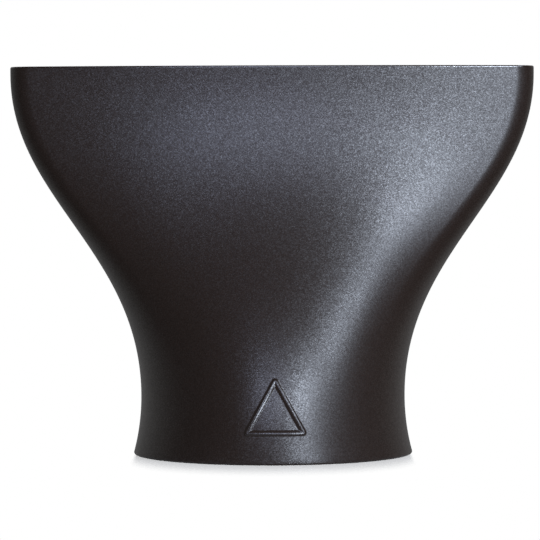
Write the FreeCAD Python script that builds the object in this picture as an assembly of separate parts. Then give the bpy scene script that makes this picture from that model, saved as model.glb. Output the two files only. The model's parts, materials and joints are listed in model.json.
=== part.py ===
import FreeCAD, Part
import math
import os

# Concentrator nozzle for a hair dryer: one moulded shell, open at both ends.
# It stands on its round end, with the air slot on top. X runs along the slot and Y across it.
# All lengths are in millimetres.

# Round end
socket_diameter = 41.4  # bore that slides over the nose of the dryer
socket_depth = 12.0  # from the lip up to the stop ledge
lead_in_height = 2.5  # tapered entry of the bore
lead_in_width = 1.0
ledge_width = 1.3  # ring that the nose of the dryer stops against
ledge_thickness = 1.5

# Air slot
height = 66.6
slot_width = 86.0
slot_depth = 11.0
rim_land = 1.3  # upright band round the slot, below its edge

# Shell
wall = 2.0
neck_height = 10.0  # narrowest place of the side outline
flare_radius = 37.0  # hollow curve of the sides, below the neck
waist_radius = 42.0  # hollow curve of the sides, above the neck
shoulder_radius = 31.0  # full curve of the sides, at the slot
front_break_radius = 58.0  # full curve of the long faces, at the lip
front_sweep_radius = 84.0  # hollow curve of the long faces, at the slot
rim_radius = 0.25  # rounding of the slot's edges
lip_bevel = 0.35

# Loft
section_count = 11  # steps between the lip and the slot
overcut = 1.0  # how far a hollow runs past the face that it opens

# Sizes that follow
bore_radius = socket_diameter / 2
neck_radius = bore_radius + wall
ledge_top = socket_depth + ledge_thickness
rim_base = height - rim_land
rim_half_width = slot_width / 2 + wall
rim_half_depth = slot_depth / 2 + wall
rim_rounding = min(rim_radius, 0.35 * wall)
up = FreeCAD.Vector(0, 0, 1)


def flare_reach(z, inset):
    """Distance from the axis of the hollow side outline below the neck, moved inward by inset."""
    drop = neck_height - z
    return neck_radius + flare_radius - math.sqrt((flare_radius + inset) ** 2 - drop**2)


lip_radius = flare_reach(lip_bevel, 0)


def guide_curve(foot, top, foot_radius, top_radius):
    """Curve from foot to top, upright at both ends, with its radius of curvature at each end."""
    shift = abs(top.x - foot.x)
    foot_handle = math.sqrt(foot_radius * shift * 2 / 3)
    top_handle = math.sqrt(top_radius * shift * 2 / 3)
    curve = Part.BezierCurve()
    curve.setPoles([foot, foot + up * foot_handle, top - up * top_handle, top])
    return curve


side_guide = guide_curve(
    FreeCAD.Vector(neck_radius, 0, neck_height),
    FreeCAD.Vector(rim_half_width, 0, rim_base),
    waist_radius,
    shoulder_radius,
)
front_guide = guide_curve(
    FreeCAD.Vector(lip_radius, 0, lip_bevel),
    FreeCAD.Vector(rim_half_depth, 0, rim_base),
    front_break_radius,
    front_sweep_radius,
)


def reach_at(guide, z, inset):
    """Distance from the axis, at height z, of a guide curve moved inward by inset."""
    low = 0.0
    high = 1.0
    for _ in range(50):
        middle = (low + high) / 2
        point = guide.value(middle)
        tangent = guide.tangent(middle)[0]
        if point.z + inset * tangent.x < z:
            low = middle
        else:
            high = middle
    return point.x - inset * tangent.z


def oval(z, half_width, half_depth):
    """Outline at height z of four tangent arcs: two ends and two crowned long faces."""
    turn = math.atan2(half_depth, half_width)
    spread = (half_width - half_depth) / (math.sin(turn) + math.cos(turn) - 1)
    end_radius = half_depth - spread * (1 - math.cos(turn))
    end_centre = half_width - end_radius
    corner_x = end_centre + end_radius * math.sin(turn)
    corner_y = end_radius * math.cos(turn)
    right_front = FreeCAD.Vector(corner_x, -corner_y, z)
    right_back = FreeCAD.Vector(corner_x, corner_y, z)
    left_back = FreeCAD.Vector(-corner_x, corner_y, z)
    left_front = FreeCAD.Vector(-corner_x, -corner_y, z)
    right_end = Part.Arc(right_front, FreeCAD.Vector(half_width, 0, z), right_back)
    back_face = Part.Arc(right_back, FreeCAD.Vector(0, half_depth, z), left_back)
    left_end = Part.Arc(left_back, FreeCAD.Vector(-half_width, 0, z), left_front)
    front_face = Part.Arc(left_front, FreeCAD.Vector(0, -half_depth, z), right_front)
    arcs = [right_end, back_face, left_end, front_face]
    return Part.Wire([arc.toShape() for arc in arcs])


def shell_oval(z, inset):
    """Outline of the shell at height z, moved inward by inset."""
    if z < neck_height:
        half_width = flare_reach(z, inset)
    else:
        half_width = reach_at(side_guide, z, inset)
    return oval(z, half_width, reach_at(front_guide, z, inset))


def body(bottom, inset):
    """Solid that blends from round to flat, from a height up to the edge of the slot."""
    step = (rim_base - bottom) / section_count
    sections = [shell_oval(bottom + step * count, inset) for count in range(section_count + 1)]
    rim = Part.Face(sections[-1]).extrude(up * rim_land)
    return Part.makeLoft(sections, True).fuse(rim)


def socket():
    """Hollow of the round end: tapered entry, bore, and the hole in the stop ledge."""
    entry_radius = bore_radius + lead_in_width
    ledge_radius = bore_radius - ledge_width
    outline = [
        (0, -overcut),
        (entry_radius, -overcut),
        (entry_radius, 0),
        (bore_radius, lead_in_height),
        (bore_radius, socket_depth),
        (ledge_radius, socket_depth),
        (ledge_radius, ledge_top + overcut),
        (0, ledge_top + overcut),
        (0, -overcut),
    ]
    profile = Part.makePolygon([FreeCAD.Vector(radius, 0, z) for radius, z in outline])
    return Part.Face(profile).revolve(FreeCAD.Vector(0, 0, 0), up, 360)


def lies_at(edge, z):
    return all(abs(vertex.Z - z) < Part.Precision.confusion() for vertex in edge.Vertexes)


def nozzle():
    """The whole shell, with the edges of the slot rounded."""
    foot = Part.makeCone(lip_radius - lip_bevel, lip_radius, lip_bevel)
    outside = foot.fuse(body(lip_bevel, 0))
    shell = outside.cut(body(ledge_top, wall)).cut(socket())
    rim_edges = [edge for edge in shell.Edges if lies_at(edge, height)]
    return shell.makeFillet(rim_rounding, rim_edges)


os.makedirs("parts", exist_ok=True)
shape = nozzle()
shape.exportStep("parts/nozzle.step")
print("nozzle: solids", len(shape.Solids), "valid", shape.isValid(), "volume", round(shape.Volume, 1))
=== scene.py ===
import bpy
import json
import math
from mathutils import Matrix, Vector


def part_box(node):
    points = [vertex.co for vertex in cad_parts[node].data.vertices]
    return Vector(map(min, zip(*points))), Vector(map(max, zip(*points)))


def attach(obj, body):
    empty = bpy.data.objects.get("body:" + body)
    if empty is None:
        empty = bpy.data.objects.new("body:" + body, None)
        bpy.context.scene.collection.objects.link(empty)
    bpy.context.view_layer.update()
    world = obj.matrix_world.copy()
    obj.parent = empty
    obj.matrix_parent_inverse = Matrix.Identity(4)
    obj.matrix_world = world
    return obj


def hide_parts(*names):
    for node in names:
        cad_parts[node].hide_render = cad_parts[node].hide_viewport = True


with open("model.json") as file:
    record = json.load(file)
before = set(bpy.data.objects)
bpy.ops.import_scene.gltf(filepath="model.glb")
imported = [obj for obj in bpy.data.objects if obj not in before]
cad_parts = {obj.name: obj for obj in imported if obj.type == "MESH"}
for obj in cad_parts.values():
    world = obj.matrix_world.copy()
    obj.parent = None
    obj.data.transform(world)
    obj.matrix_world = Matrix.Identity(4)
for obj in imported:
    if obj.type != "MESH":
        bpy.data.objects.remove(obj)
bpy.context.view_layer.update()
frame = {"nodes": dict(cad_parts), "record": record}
print("frame loaded:", ", ".join(sorted(frame["nodes"])))

mm = 0.001
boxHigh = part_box("nozzle")[1]
mounts = {mount["name"]: mount for mount in frame["record"]["mounts"]}


# Nozzle shell: round socket below, flat slot above, one wall all the way
nozzle = {
    "boreRadius": mounts["socket"]["dims"]["r_mm"] * mm,
    "socketDepth": 12.0 * mm,
    "leadInHeight": 2.5 * mm,  # tapered entry of the bore
    "leadInWidth": 1.0 * mm,
    "entryEdge": 0.0875 * mm,  # small bevel between the entry and the lip
    "ledgeWidth": 1.3 * mm,  # stop ring for the nose of the dryer
    "ledgeThickness": 1.5 * mm,
    "height": boxHigh.z,
    "rimHalfWidth": boxHigh.x,
    "rimHalfDepth": 7.5 * mm,
    "rimLand": 1.3 * mm,  # upright band below the slot's edge
    "rimRadius": 0.25 * mm,
    "edgeBand": 0.1 * mm,  # from the satin skin to the polished edge
    "edgePolish": 0.75,
    "wall": 2.0 * mm,
    "neckHeight": 10.0 * mm,
    "flareRadius": 37.0 * mm,  # sides below the neck
    "waistRadius": 42.0 * mm,  # sides above it
    "shoulderRadius": 31.0 * mm,
    "frontBreakRadius": 58.0 * mm,
    "frontSweepRadius": 84.0 * mm,
    "lipRadius": 0.35 * mm,
    "ledgeRadius": 0.25 * mm,  # softened corners inside
    "cornerSteps": 5,
    "lipStep": 0.5 * mm,  # row spacing between the lip and the mark
    "markStep": 0.075 * mm,  # where the mark stands out
    "skinStep": 1.0 * mm,  # above the mark
    "innerStep": 2.0 * mm,
    "boreStep": 3.0 * mm,
    "leadInShares": (0.3, 0.6, 0.85),  # rows of the tapered entry
    "endColumns": 26,
    "faceColumns": 24,
    "frontSideColumns": 14,
    "markColumns": 150,
    "markReach": 0.175,  # share of a quarter turn on each side of the front
    "sharpAngle": 40,
}

# Raised outline low on the front: a plain three-sided mark
mark = {
    "centreX": 0.36 * mm,
    "bottom": 5.0 * mm,
    "width": 10.62 * mm,
    "height": 9.65 * mm,
    "cornerRadius": 0.45 * mm,
    "flank": 0.32 * mm,  # steep outer side, up to the ridge
    "limb": 0.7 * mm,  # rounded inner side, from the ridge down
    "raise": 0.24 * mm,
    "polish": 0.5,
    "polishGain": 8,  # reaches full polish soon beside the ridge
}

frontStation = 3  # stations run 0 to 4 round the shell, from the right by way of the back
bisections = 40


def guidePoles(foot, top, footRadius, topRadius):  # cubic, upright at both ends, with its end radii
    shift = abs(top.x - foot.x)
    footHandle = Vector((0, math.sqrt(footRadius * shift * 2 / 3)))
    topHandle = Vector((0, math.sqrt(topRadius * shift * 2 / 3)))
    return [foot, foot + footHandle, top - topHandle, top]


def guidePoint(poles, t):
    u = 1 - t
    return poles[0] * u**3 + poles[1] * (3 * u * u * t) + poles[2] * (3 * u * t * t) + poles[3] * t**3


def guideTangent(poles, t):
    u = 1 - t
    first, second, third = (poles[i + 1] - poles[i] for i in range(3))
    slope = first * (u * u) + second * (2 * u * t) + third * (t * t)
    return slope.normalized()


def reachAt(poles, z, inset):  # distance from the axis of a guide moved inward
    low, high = 0.0, 1.0
    for _ in range(bisections):
        t = (low + high) / 2
        point = guidePoint(poles, t)
        tangent = guideTangent(poles, t)
        if point.y + inset * tangent.x < z:
            low = t
        else:
            high = t
    return point.x - inset * tangent.y


neckRadius = nozzle["boreRadius"] + nozzle["wall"]
rimBase = nozzle["height"] - nozzle["rimLand"]
ledgeTop = nozzle["socketDepth"] + nozzle["ledgeThickness"]
ledgeReach = nozzle["boreRadius"] - nozzle["ledgeWidth"]
markLow = mark["bottom"] - mark["limb"]
markHigh = mark["bottom"] + mark["height"] + mark["limb"]


def flareReach(z):  # hollow curve of the sides, from the neck down to the lip
    drop = nozzle["neckHeight"] - z
    return neckRadius + nozzle["flareRadius"] - math.sqrt(nozzle["flareRadius"] ** 2 - drop**2)


lipReach = flareReach(nozzle["lipRadius"])
sideGuide = guidePoles(
    Vector((neckRadius, nozzle["neckHeight"])),
    Vector((nozzle["rimHalfWidth"], rimBase)),
    nozzle["waistRadius"],
    nozzle["shoulderRadius"],
)
frontGuide = guidePoles(
    Vector((lipReach, nozzle["lipRadius"])),
    Vector((nozzle["rimHalfDepth"], rimBase)),
    nozzle["frontBreakRadius"],
    nozzle["frontSweepRadius"],
)


def levels(start, end, step):  # evenly spaced heights, without the first
    count = max(1, round(abs(end - start) / step))
    return [start + (end - start) * i / count for i in range(1, count + 1)]


def quarterTurn():
    steps = nozzle["cornerSteps"]
    return [math.radians(90 * i / steps) for i in range(steps + 1)]


# Rows of the shell: half width, half depth and height of one outline each
def skinRow(z, inset):
    level = min(z, rimBase)
    if z < nozzle["neckHeight"]:
        side = flareReach(z)
    else:
        side = reachAt(sideGuide, level, inset)
    return side, reachAt(frontGuide, level, inset), z


def roundRow(radius, z):
    return radius, radius, z


def lipRows():
    lip = nozzle["lipRadius"]
    rows = []
    for angle in quarterTurn():
        rows.append(roundRow(lipReach - lip + lip * math.sin(angle), lip - lip * math.cos(angle)))
    return rows


def outsideRows():
    heights = levels(nozzle["lipRadius"], markLow, nozzle["lipStep"])
    heights += levels(markLow, markHigh, nozzle["markStep"])
    heights += levels(markHigh, rimBase, nozzle["skinStep"])
    return [skinRow(z, 0) for z in heights]


def rimRows():  # over the edge of the slot, from the outer skin to the inner one
    radius = nozzle["rimRadius"]
    base = nozzle["height"] - radius
    outerWidth, outerDepth, _ = skinRow(nozzle["height"], 0)
    innerWidth, innerDepth, _ = skinRow(nozzle["height"], nozzle["wall"])
    rows = [(outerWidth, outerDepth, base - nozzle["edgeBand"])]
    for angle in quarterTurn():
        inset = radius - radius * math.cos(angle)
        rows.append((outerWidth - inset, outerDepth - inset, base + radius * math.sin(angle)))
    for angle in reversed(quarterTurn()):
        inset = radius - radius * math.cos(angle)
        rows.append((innerWidth + inset, innerDepth + inset, base + radius * math.sin(angle)))
    return rows


def insideRows():  # down to the top of the stop ring
    soft = nozzle["ledgeRadius"]
    heights = [rimBase] + levels(rimBase, ledgeTop + soft, nozzle["innerStep"])
    rows = [skinRow(z, nozzle["wall"]) for z in heights]
    seatWidth, seatDepth, _ = skinRow(ledgeTop, nozzle["wall"])
    rows.append((seatWidth - soft, seatDepth - soft, ledgeTop))
    return rows


def socketRows():  # stop ring, bore and tapered entry, down to the lip
    soft = nozzle["ledgeRadius"]
    bore = nozzle["boreRadius"]
    ledgeBase = nozzle["socketDepth"]
    rows = []
    for angle in quarterTurn():  # top corner of the stop ring
        reach = ledgeReach + soft - soft * math.sin(angle)
        rows.append(roundRow(reach, ledgeTop - soft + soft * math.cos(angle)))
    for angle in quarterTurn():  # bottom corner of the stop ring
        reach = ledgeReach + soft - soft * math.cos(angle)
        rows.append(roundRow(reach, ledgeBase + soft - soft * math.sin(angle)))
    rows.append(roundRow(bore - soft, ledgeBase))
    boreTop = ledgeBase - soft
    heights = [boreTop] + levels(boreTop, nozzle["leadInHeight"], nozzle["boreStep"])
    rows += [roundRow(bore, z) for z in heights]
    for share in nozzle["leadInShares"]:
        rows.append(roundRow(bore + nozzle["leadInWidth"] * share, nozzle["leadInHeight"] * (1 - share)))
    entry = bore + nozzle["leadInWidth"]
    rows.append(roundRow(entry, nozzle["entryEdge"]))
    rows.append(roundRow(entry + nozzle["entryEdge"], 0))
    return rows


def shellRows():  # up the outside, over the rim, down the inside, back along the lip
    return lipRows() + outsideRows() + rimRows() + insideRows() + socketRows()


def ovalPoint(halfWidth, halfDepth, station):  # a whole station lies on an axis
    quarter = int(station) % 4
    share = station - int(station)
    if quarter % 2:
        share = 1 - share
    turn = math.atan2(halfDepth, halfWidth)
    spread = (halfWidth - halfDepth) / (math.sin(turn) + math.cos(turn) - 1)
    endRadius = halfDepth - spread * (1 - math.cos(turn))
    if share < 0.5:  # end arc
        angle = share * 2 * (math.pi / 2 - turn)
        x = halfWidth - endRadius + endRadius * math.cos(angle)
        y = endRadius * math.sin(angle)
    else:  # arc of the long face
        angle = math.pi / 2 - turn * (2 - share * 2)
        faceRadius = endRadius + spread
        x = faceRadius * math.cos(angle)
        y = faceRadius * math.sin(angle) - faceRadius + halfDepth
    if quarter in (1, 2):
        x = -x
    if quarter >= 2:
        y = -y
    return x, y


def shellStations():  # columns, closer together across the mark
    ends, faces, sides = nozzle["endColumns"], nozzle["faceColumns"], nozzle["frontSideColumns"]
    markStart = frontStation - nozzle["markReach"]
    markEnd = frontStation + nozzle["markReach"]
    spans = [  # the arcs of an outline meet at the half stations
        (0, 0.5, ends),
        (0.5, 1.5, 2 * faces),
        (1.5, 2.5, 2 * ends),
        (2.5, markStart, sides),
        (markStart, markEnd, nozzle["markColumns"]),
        (markEnd, 3.5, sides),
        (3.5, 4, ends),
    ]
    return [start + (end - start) * i / count for start, end, count in spans for i in range(count)]


def markCore():  # centres of the mark's rounded corners
    halfWidth, top = mark["width"] / 2, mark["height"]
    inRadius = halfWidth * top / (halfWidth + math.hypot(halfWidth, top))
    centre = Vector((0, inRadius))
    shrink = 1 - mark["cornerRadius"] / inRadius
    corners = [Vector((-halfWidth, 0)), Vector((halfWidth, 0)), Vector((0, top))]
    return [centre + (corner - centre) * shrink for corner in corners]


def segmentDistance(point, start, end):
    along = end - start
    share = max(0, min(1, (point - start).dot(along) / along.length_squared))
    return (point - start - along * share).length


def edgeDistance(core, point):  # to the mark's rounded outline, below 0 inside it
    edges = list(zip(core, core[1:] + core[:1]))
    beyond = []
    for start, end in edges:
        along = (end - start).normalized()
        beyond.append(Vector((along.y, -along.x)).dot(point - start))
    if max(beyond) <= 0:
        return max(beyond) - mark["cornerRadius"]
    return min(segmentDistance(point, start, end) for start, end in edges) - mark["cornerRadius"]


def markShare(core, x, z):  # 0 beside the limbs of the mark, 1 along their ridge
    depth = -edgeDistance(core, Vector((x - mark["centreX"], z - mark["bottom"])))
    fromRidge = depth - mark["flank"] / 2
    if fromRidge < 0:
        return max(0, 1 + fromRidge / mark["flank"])
    return max(0, 1 - (fromRidge / mark["limb"]) ** 2)


def shellPoints(rows, stations):  # places, and how polished the skin is there
    core = markCore()
    outerRows = rows.index(max(rows, key=lambda row: row[2]))
    edgeLow = nozzle["height"] - nozzle["rimRadius"] - nozzle["edgeBand"] / 2
    verts, polish = [], []
    for number, (halfWidth, halfDepth, z) in enumerate(rows):
        onMark = number < outerRows and markLow < z < markHigh
        for station in stations:
            x, y = ovalPoint(halfWidth, halfDepth, station)
            shine = nozzle["edgePolish"] if z > edgeLow else 0
            if onMark and abs(station - frontStation) < nozzle["markReach"]:
                share = markShare(core, x, z)
                lift = 1 + mark["raise"] * share / math.hypot(x, y)
                x, y = x * lift, y * lift
                shine = mark["polish"] * min(1, mark["polishGain"] * share * (1 - share))
            verts.append((x, y, z))
            polish.append(shine)
    return verts, polish


def shellFaces(rowCount, columnCount):
    faces = []
    for row in range(rowCount):
        below = row * columnCount
        above = (row + 1) % rowCount * columnCount
        for i in range(columnCount):
            j = (i + 1) % columnCount
            faces.append((below + i, below + j, above + j, above + i))
    return faces


def buildNozzle():
    rows = shellRows()
    stations = shellStations()
    verts, polish = shellPoints(rows, stations)
    faces = shellFaces(len(rows), len(stations))
    mesh = bpy.data.meshes.new("nozzleShell")
    mesh.from_pydata(verts, [], faces)
    mesh.polygons.foreach_set("use_smooth", [True] * len(faces))
    mesh.set_sharp_from_angle(angle=math.radians(nozzle["sharpAngle"]))
    mesh.attributes.new("polish", "FLOAT", "POINT").data.foreach_set("value", polish)
    mesh.validate()
    piece = bpy.data.objects.new("nozzle_shell", mesh)
    bpy.context.scene.collection.objects.link(piece)
    print("nozzle shell:", len(rows), "rows,", len(stations), "columns,", 2 * len(faces), "triangles")
    return piece


# Plastic: near-black satin moulding with a fine spark grain
plastic = {
    "dark": (0.0115, 0.0068, 0.0050, 1),
    "light": (0.0215, 0.0130, 0.0098, 1),
    "ior": 1.5,
    "roughnessLow": 0.32,
    "roughnessHigh": 0.38,
    "patchLow": 0.7,  # pits and smudges together
    "patchHigh": 1.3,
    "polishRoughness": 0.12,  # edge of the slot and sides of the mark's limbs
    "polishShine": 0.9,
    "grainScale": 8500,  # grains per metre
    "grainTilt": 0.065,
    "sparkLow": 0.3,
    "sparkGain": 0.6,
    "sparkPower": 3,  # few grains shine, most stay dull
    "spotScale": 3600,
    "spotNear": 0.1,
    "spotFar": 0.75,
    "spotGain": 0.2,
    "pitScale": 2600,
    "pitDetail": 1,
    "pitDepth": 0.004 * mm,
    "smudgeScale": 45,
    "smudgeDetail": 4,
    "noiseRoughness": 0.6,
}


def addNode(tree, kind, x, y, **values):
    node = tree.nodes.new(kind)
    node.location = (x, y)
    for name, value in values.items():
        setattr(node, name, value)
    return node


def noise(tree, coords, scale, detail, x, y):
    node = addNode(tree, "ShaderNodeTexNoise", x, y)
    node.inputs["Scale"].default_value = scale
    node.inputs["Detail"].default_value = detail
    node.inputs["Roughness"].default_value = plastic["noiseRoughness"]
    tree.links.new(coords, node.inputs["Vector"])
    return node.outputs["Fac"]


def cells(tree, coords, scale, x, y):
    node = addNode(tree, "ShaderNodeTexVoronoi", x, y)
    node.inputs["Scale"].default_value = scale
    tree.links.new(coords, node.inputs["Vector"])
    return node


def spread(tree, value, low, high, outLow, outHigh, x, y):
    node = addNode(tree, "ShaderNodeMapRange", x, y, interpolation_type="SMOOTHSTEP")
    node.inputs["From Min"].default_value = low
    node.inputs["From Max"].default_value = high
    node.inputs["To Min"].default_value = outLow
    node.inputs["To Max"].default_value = outHigh
    tree.links.new(value, node.inputs["Value"])
    return node.outputs["Result"]


def mathNode(tree, operation, first, second, x, y):
    node = addNode(tree, "ShaderNodeMath", x, y, operation=operation)
    for socket, value in zip(node.inputs, (first, second)):
        if isinstance(value, (int, float)):
            socket.default_value = value
        else:
            tree.links.new(value, socket)
    return node.outputs[0]


def blend(tree, factor, first, second, x, y):  # from a varying value to a plain one
    node = addNode(tree, "ShaderNodeMix", x, y)
    tree.links.new(factor, node.inputs["Factor"])
    tree.links.new(first, node.inputs["A"])
    node.inputs["B"].default_value = second
    return node.outputs["Result"]


def vectorNode(tree, operation, first, second, x, y):
    node = addNode(tree, "ShaderNodeVectorMath", x, y, operation=operation)
    tree.links.new(first, node.inputs[0])
    if isinstance(second, tuple):
        node.inputs[1].default_value = second
    elif second:
        tree.links.new(second, node.inputs[1])
    return node.outputs["Vector"]


def newMaterial(name):
    material = bpy.data.materials.new(name)
    material.use_nodes = True
    material.node_tree.nodes.clear()
    return material, material.node_tree


def grainShine(tree, lots, coords):  # how strongly each grain and each bright spot shines
    spark = mathNode(tree, "POWER", lots.outputs["X"], plastic["sparkPower"], -200, 500)
    spark = mathNode(tree, "MULTIPLY", spark, plastic["sparkGain"], 0, 500)
    spots = cells(tree, coords, plastic["spotScale"], -600, 700).outputs["Distance"]
    spot = spread(tree, spots, plastic["spotNear"], plastic["spotFar"], plastic["spotGain"], 0, -400, 700)
    both = mathNode(tree, "ADD", spark, spot, 150, 600)
    return mathNode(tree, "ADD", both, plastic["sparkLow"], 300, 600)


def grainNormal(tree, grain, pits):  # shallow pits, and each grain leaning its own way
    bump = addNode(tree, "ShaderNodeBump", 100, -250)
    bump.inputs["Distance"].default_value = plastic["pitDepth"]
    tree.links.new(pits, bump.inputs["Height"])
    centred = vectorNode(tree, "SUBTRACT", grain, (0.5, 0.5, 0.5), -100, -450)
    tilt = vectorNode(tree, "MULTIPLY", centred, (plastic["grainTilt"],) * 3, 100, -450)
    tilted = vectorNode(tree, "ADD", bump.outputs["Normal"], tilt, 300, -350)
    return vectorNode(tree, "NORMALIZE", tilted, None, 450, -350)


def blackPlastic():
    material, tree = newMaterial("blackPlastic")
    output = addNode(tree, "ShaderNodeOutputMaterial", 900, 0)
    skin = addNode(tree, "ShaderNodeBsdfPrincipled", 600, 0)
    skin.inputs["IOR"].default_value = plastic["ior"]
    coords = addNode(tree, "ShaderNodeTexCoord", -900, 0).outputs["Object"]
    polish = addNode(tree, "ShaderNodeAttribute", -300, -550, attribute_name="polish").outputs["Fac"]
    grain = cells(tree, coords, plastic["grainScale"], -600, 300).outputs["Color"]  # random for each grain
    lots = addNode(tree, "ShaderNodeSeparateXYZ", -400, 450)
    tree.links.new(grain, lots.inputs[0])
    shine = blend(tree, polish, grainShine(tree, lots, coords), plastic["polishShine"], 450, 500)
    tree.links.new(shine, skin.inputs["Specular IOR Level"])
    tint = addNode(tree, "ShaderNodeMix", 100, 300, data_type="RGBA")
    tint.inputs["A"].default_value = plastic["dark"]
    tint.inputs["B"].default_value = plastic["light"]
    tree.links.new(lots.outputs["Y"], tint.inputs["Factor"])
    tree.links.new(tint.outputs["Result"], skin.inputs["Base Color"])
    pits = noise(tree, coords, plastic["pitScale"], plastic["pitDetail"], -600, -50)
    smudge = noise(tree, coords, plastic["smudgeScale"], plastic["smudgeDetail"], -600, -300)
    patchy = mathNode(tree, "ADD", pits, smudge, -100, 0)
    roughness = (plastic["roughnessLow"], plastic["roughnessHigh"])
    satin = spread(tree, patchy, plastic["patchLow"], plastic["patchHigh"], *roughness, 100, 50)
    tree.links.new(blend(tree, polish, satin, plastic["polishRoughness"], 300, 50), skin.inputs["Roughness"])
    tree.links.new(grainNormal(tree, grain, pits), skin.inputs["Normal"])
    tree.links.new(skin.outputs["BSDF"], output.inputs["Surface"])
    return material


shellPiece = buildNozzle()
shellPiece.data.materials.append(blackPlastic())
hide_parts("nozzle")
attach(shellPiece, "root")
print("plastic applied")


# Floor: a pale sheet that thins out to the white backdrop away from the nozzle
floorSheet = {
    "radius": 75 * mm,
    "corners": 72,
    "drop": 0.02 * mm,  # a hair below the lip
    "colour": (0.82, 0.82, 0.82, 1),
    "roughness": 0.18,
    "cover": 0.5,
    "fadeDepth": 20 * mm,  # before and behind the lip
    "sideFade": 0.8 * mm,  # inside the lip's width
}


def floorCover(tree):  # how much of the sheet shows: most at the lip, none beside it
    coords = addNode(tree, "ShaderNodeTexCoord", -1300, 0).outputs["Object"]
    place = addNode(tree, "ShaderNodeSeparateXYZ", -1100, 0)
    tree.links.new(coords, place.inputs[0])
    across = mathNode(tree, "ABSOLUTE", place.outputs["X"], 0, -900, 150)
    along = mathNode(tree, "ABSOLUTE", place.outputs["Y"], 0, -900, -150)
    chord = mathNode(tree, "SUBTRACT", lipReach**2, mathNode(tree, "POWER", across, 2, -750, 150), -600, 150)
    lipLine = mathNode(tree, "SQRT", mathNode(tree, "MAXIMUM", chord, 0, -450, 150), 0, -300, 150)
    depth = mathNode(tree, "SUBTRACT", along, lipLine, -150, 0)
    before = spread(tree, depth, 0, floorSheet["fadeDepth"], floorSheet["cover"], 0, 0, 0)
    beside = spread(tree, across, lipReach - floorSheet["sideFade"], lipReach, 1, 0, 0, -250)
    return mathNode(tree, "MULTIPLY", before, beside, 200, -100)


def paleFloor():
    material, tree = newMaterial("paleFloor")
    output = addNode(tree, "ShaderNodeOutputMaterial", 700, 0)
    skin = addNode(tree, "ShaderNodeBsdfPrincipled", 400, 0)
    skin.inputs["Base Color"].default_value = floorSheet["colour"]
    skin.inputs["Roughness"].default_value = floorSheet["roughness"]
    under = addNode(tree, "ShaderNodeNewGeometry", 0, -500).outputs["Backfacing"]
    cover = blend(tree, under, floorCover(tree), 0, 300, -300)  # not seen from below
    tree.links.new(cover, skin.inputs["Alpha"])
    tree.links.new(skin.outputs["BSDF"], output.inputs["Surface"])
    return material


def buildFloor():
    mesh = bpy.data.meshes.new("floorSheet")
    count, radius = floorSheet["corners"], floorSheet["radius"]
    ring = [math.radians(360 * i / count) for i in range(count)]
    verts = [(radius * math.cos(angle), radius * math.sin(angle), 0) for angle in ring]
    mesh.from_pydata(verts, [], [tuple(range(count))])
    floor = bpy.data.objects.new("floor", mesh)
    floor.data.materials.append(paleFloor())
    floor.location.z = -floorSheet["drop"]
    bpy.context.scene.collection.objects.link(floor)


# White backdrop behind the nozzle, a dim room in front of it
backdrop = {
    "colour": (1, 1, 1, 1),
    "mirrored": 0.28,
    "room": 0.06,
    "ambient": 0.23,
    "direction": (-0.15, 0.98, 0),
    "fadeStart": -0.1,  # from the room to the backdrop, as a cosine
    "fadeEnd": 0.7,
}


def buildWorld():
    world = bpy.data.worlds.new("studio")
    bpy.context.scene.world = world
    world.use_nodes = True
    tree = world.node_tree
    tree.nodes.clear()
    output = addNode(tree, "ShaderNodeOutputWorld", 900, 0)
    light = addNode(tree, "ShaderNodeBackground", 700, 0)
    rays = addNode(tree, "ShaderNodeLightPath", -500, 200).outputs
    coords = addNode(tree, "ShaderNodeTexCoord", -500, -200).outputs["Generated"]
    facing = addNode(tree, "ShaderNodeVectorMath", -300, -200, operation="DOT_PRODUCT")
    facing.inputs[1].default_value = backdrop["direction"]
    tree.links.new(coords, facing.inputs[0])
    fade = (backdrop["fadeStart"], backdrop["fadeEnd"], backdrop["room"], backdrop["mirrored"])
    behind = spread(tree, facing.outputs["Value"], *fade, -100, -200)
    glossy = mathNode(tree, "MULTIPLY", rays["Is Glossy Ray"], behind, 100, 0)
    seen = mathNode(tree, "MAXIMUM", rays["Is Camera Ray"], rays["Is Transmission Ray"], 100, 200)
    direct = mathNode(tree, "MAXIMUM", seen, glossy, 300, 100)
    diffuse = mathNode(tree, "MULTIPLY", rays["Is Diffuse Ray"], backdrop["ambient"], 300, -100)
    tree.links.new(mathNode(tree, "MAXIMUM", direct, diffuse, 500, 0), light.inputs["Strength"])
    light.inputs["Color"].default_value = backdrop["colour"]
    tree.links.new(light.outputs["Background"], output.inputs["Surface"])


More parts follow.
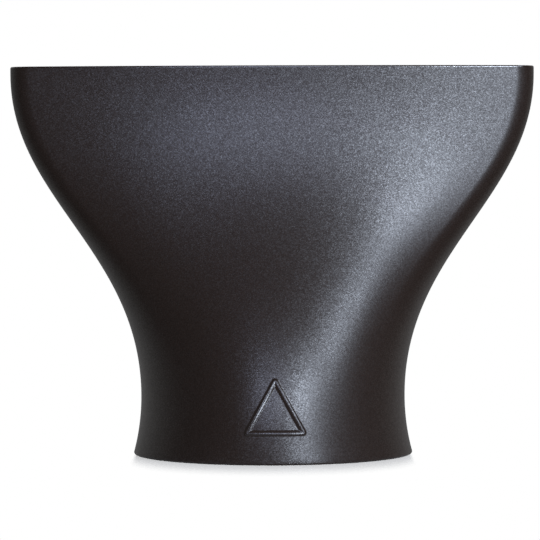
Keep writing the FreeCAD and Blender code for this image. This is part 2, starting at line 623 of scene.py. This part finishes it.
# Lamps: angles are seen from the nozzle, 0 is the camera's side and 90 its right
lampDistance = 0.6
coolTint = (0.895, 1.0, 1.18)
lamps = {
    "keyBox": {
        "azimuth": 26.6, "elevation": 15, "wide": 0.165, "tall": 0.08, "lean": 5,
        "radiance": 44.5, "tint": coolTint,
    },
    "sideBox": {
        "azimuth": 53, "elevation": 27, "wide": 0.16, "tall": 0.1, "lean": 0,
        "radiance": 23, "tint": coolTint,
    },
    "tableGlow": {
        "azimuth": 26, "elevation": -7, "wide": 0.19, "tall": 0.08, "lean": 0,
        "radiance": 21, "tint": coolTint,
    },
    "fillBox": {
        "azimuth": -2, "elevation": 17, "wide": 0.2, "tall": 0.14, "lean": 0,
        "radiance": 6.4, "tint": (0.9, 1.0, 1.34),
    },
    "backBox": {
        "azimuth": 180, "elevation": 38, "wide": 0.3, "tall": 0.2, "lean": 0,
        "radiance": 4, "tint": (0.9, 1.0, 1.18),
    },
}


def buildLamps():
    centre = Vector((0, 0, nozzle["height"] / 2))
    for name, lamp in lamps.items():
        azimuth, elevation = math.radians(lamp["azimuth"]), math.radians(lamp["elevation"])
        flat = math.cos(elevation)
        toLamp = Vector((math.sin(azimuth) * flat, -math.cos(azimuth) * flat, math.sin(elevation)))
        data = bpy.data.lights.new(name, "AREA")
        data.shape = "RECTANGLE"
        data.size, data.size_y = lamp["wide"], lamp["tall"]
        data.energy = lamp["radiance"] * math.pi * lamp["wide"] * lamp["tall"]
        data.color = lamp["tint"]
        item = bpy.data.objects.new(name, data)
        item.location = centre + toLamp * lampDistance
        item.rotation_euler = toLamp.to_track_quat("Z", "Y").to_euler()
        item.rotation_euler.rotate_axis("Z", math.radians(lamp["lean"]))
        item.visible_camera = False
        bpy.context.scene.collection.objects.link(item)


# Camera: level with the upper part of the nozzle, a long lens from the front
camera = {
    "distance": 559.84 * mm,
    "height": 50.06 * mm,
    "sensor": 36,
    "focalShare": 6.0201,  # focal length over the sensor's width
    "pitch": -0.0330,
    "roll": 0.0030,
    "yaw": 0.0007,
    "clipNear": 0.01,
    "clipFar": 10,
}


def buildCamera():
    data = bpy.data.cameras.new("camera")
    data.sensor_width = camera["sensor"]
    data.lens = camera["sensor"] * camera["focalShare"]
    data.clip_start, data.clip_end = camera["clipNear"], camera["clipFar"]
    item = bpy.data.objects.new("camera", data)
    item.location = (0, -camera["distance"], camera["height"])
    item.rotation_euler = (math.pi / 2 + camera["pitch"], camera["roll"], camera["yaw"])
    bpy.context.scene.collection.objects.link(item)
    bpy.context.scene.camera = item


buildFloor()
buildWorld()
buildLamps()
buildCamera()
bpy.context.scene.view_settings.view_transform = "Standard"
print("floor, backdrop, lamps and camera in place")

bpy.context.view_layer.update()
